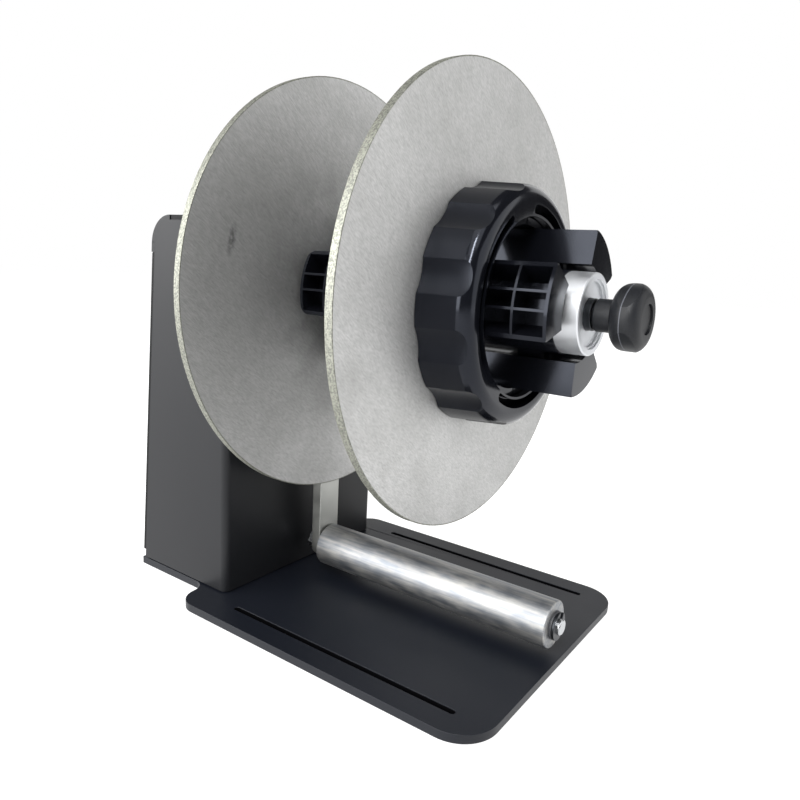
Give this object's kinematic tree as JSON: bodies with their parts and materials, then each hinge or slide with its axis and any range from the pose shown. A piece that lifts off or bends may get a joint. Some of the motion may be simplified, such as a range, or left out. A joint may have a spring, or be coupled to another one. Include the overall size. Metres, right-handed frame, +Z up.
{
  "type": "manual label rewinder",
  "caption": "Hand-turned label rewinder with two aluminium discs, an expanding three-jaw core and a swinging guide roller",
  "frame": {"origin": "under the middle of the machine's outline, on the surface that it stands on", "axes": "+X to the right as seen from the front, +Y from the knob to the housing, along the spindle, +Z up"},
  "size_m": [0.22, 0.267, 0.2834],
  "materials": {
    "powder_coat": "satin black powder coat on steel sheet",
    "rubber": "moulded matt rubber",
    "zinc_steel": "bright zinc plated steel",
    "black_steel": "blackened steel",
    "cast_aluminium": "machined aluminium casting",
    "bearing_steel": "polished bearing steel",
    "ground_steel": "ground steel",
    "felt": "pressed wool felt",
    "bronze": "sintered bronze",
    "disc_aluminium": "mill finish sheet with a fine grain and sawn rim",
    "turned_aluminium": "fine turned aluminium",
    "roller_aluminium": "drawn aluminium tube with lengthwise streaks",
    "arm_steel": "satin flat bar",
    "black_plastic": "moulded black plastic with a soft gloss",
    "knob_plastic": "fine eroded matt black plastic",
    "bush_plastic": "dark grey slide-bearing plastic"
  },
  "bodies": {
    "stand": {"base_plate": "powder_coat", "rubber_feet": "rubber", "housing_shell": "powder_coat", "rear_cover": "powder_coat", "base_screws": "zinc_steel", "base_nuts": "zinc_steel", "cover_screws": "black_steel", "bearing_housing": "cast_aluminium", "bearing_housing_screws": "black_steel", "bearing_outer_rings": "bearing_steel", "bearing_circlip": "black_steel", "felt_washer": "felt", "arm_pivot_boss": "cast_aluminium", "arm_boss_screws": "black_steel", "arm_bushes": "bronze", "arm_stops": "zinc_steel"},
    "ball_cages": {"bearing_balls": "bearing_steel", "bearing_cages": "bronze"},
    "reel": {"spindle_shaft": "ground_steel", "bearing_inner_rings": "bearing_steel", "bearing_spacer": "ground_steel", "drag_plate": "zinc_steel", "wave_washer": "black_steel", "drag_nut": "zinc_steel", "hub_screws": "black_steel", "inner_flange": "disc_aluminium", "chuck_body": "black_plastic", "end_collar": "turned_aluminium"},
    "sleeve": {"draw_sleeve": "black_steel"},
    "knob": {"clamp_knob": "knob_plastic", "knob_cap": "knob_plastic", "draw_screw": "ground_steel", "screw_clip": "black_steel"},
    "left_jaw": {"jaw_left": "black_plastic", "jaw_pins_left": "ground_steel"},
    "upper_jaw": {"jaw_upper": "black_plastic", "jaw_pins_upper": "ground_steel"},
    "lower_jaw": {"jaw_lower": "black_plastic", "jaw_pins_lower": "ground_steel"},
    "flange": {"outer_flange": "disc_aluminium", "collet_hub": "black_plastic", "flange_screws": "zinc_steel"},
    "ring": {"lock_ring": "black_plastic"},
    "arm": {"swing_arm": "arm_steel", "arm_shaft": "ground_steel", "arm_lever": "zinc_steel", "arm_circlip": "black_steel", "roller_axle": "ground_steel", "axle_nut": "zinc_steel", "roller_clip": "black_steel"},
    "roller": {"guide_roller": "roller_aluminium", "roller_bushes": "bush_plastic"}
  },
  "joints": [
    {"name": "reel_spin", "type": "hinge", "parent": "stand", "child": "reel", "pos_m": [0, 0, 0.1734], "axis": [0, -1, 0], "continuous": true},
    {"name": "cage_spin", "type": "hinge", "parent": "stand", "child": "ball_cages", "pos_m": [0, 0, 0.1734], "axis": [0, -1, 0], "continuous": true},
    {"name": "sleeve_slide", "type": "slide", "parent": "reel", "child": "sleeve", "axis": [0, -1, 0], "range_m": [0, 0.003]},
    {"name": "knob_turn", "type": "hinge", "parent": "sleeve", "child": "knob", "pos_m": [0, 0, 0.1734], "axis": [0, -1, 0], "range_deg": [0, 540]},
    {"name": "left_jaw_slide", "type": "slide", "parent": "reel", "child": "left_jaw", "axis": [0.9871, 0, -0.1599], "range_m": [0, 0.003]},
    {"name": "upper_jaw_slide", "type": "slide", "parent": "reel", "child": "upper_jaw", "axis": [-0.632, 0, -0.7749], "range_m": [0, 0.003]},
    {"name": "lower_jaw_slide", "type": "slide", "parent": "reel", "child": "lower_jaw", "axis": [-0.3551, 0, 0.9348], "range_m": [0, 0.003]},
    {"name": "flange_slide", "type": "slide", "parent": "reel", "child": "flange", "axis": [0, 1, 0], "range_m": [-0.018, 0.06]},
    {"name": "ring_turn", "type": "hinge", "parent": "flange", "child": "ring", "pos_m": [0, 0, 0.1734], "axis": [0, -1, 0], "range_deg": [0, 60]},
    {"name": "arm_swing", "type": "hinge", "parent": "stand", "child": "arm", "pos_m": [0, 0, 0.1025], "axis": [0, -1, 0], "range_deg": [-40, 40]},
    {"name": "roller_spin", "type": "hinge", "parent": "arm", "child": "roller", "pos_m": [0, 0, 0.0222], "axis": [0, -1, 0], "continuous": true}
  ],
  "couplings": [
    {"joint": "cage_spin", "follows": "reel_spin", "ratio": 0.384},
    {"joint": "knob_turn", "follows": "sleeve_slide", "rad_per_m": 3141.6},
    {"joint": "left_jaw_slide", "follows": "sleeve_slide", "ratio": 1},
    {"joint": "upper_jaw_slide", "follows": "sleeve_slide", "ratio": 1},
    {"joint": "lower_jaw_slide", "follows": "sleeve_slide", "ratio": 1}
  ]
}
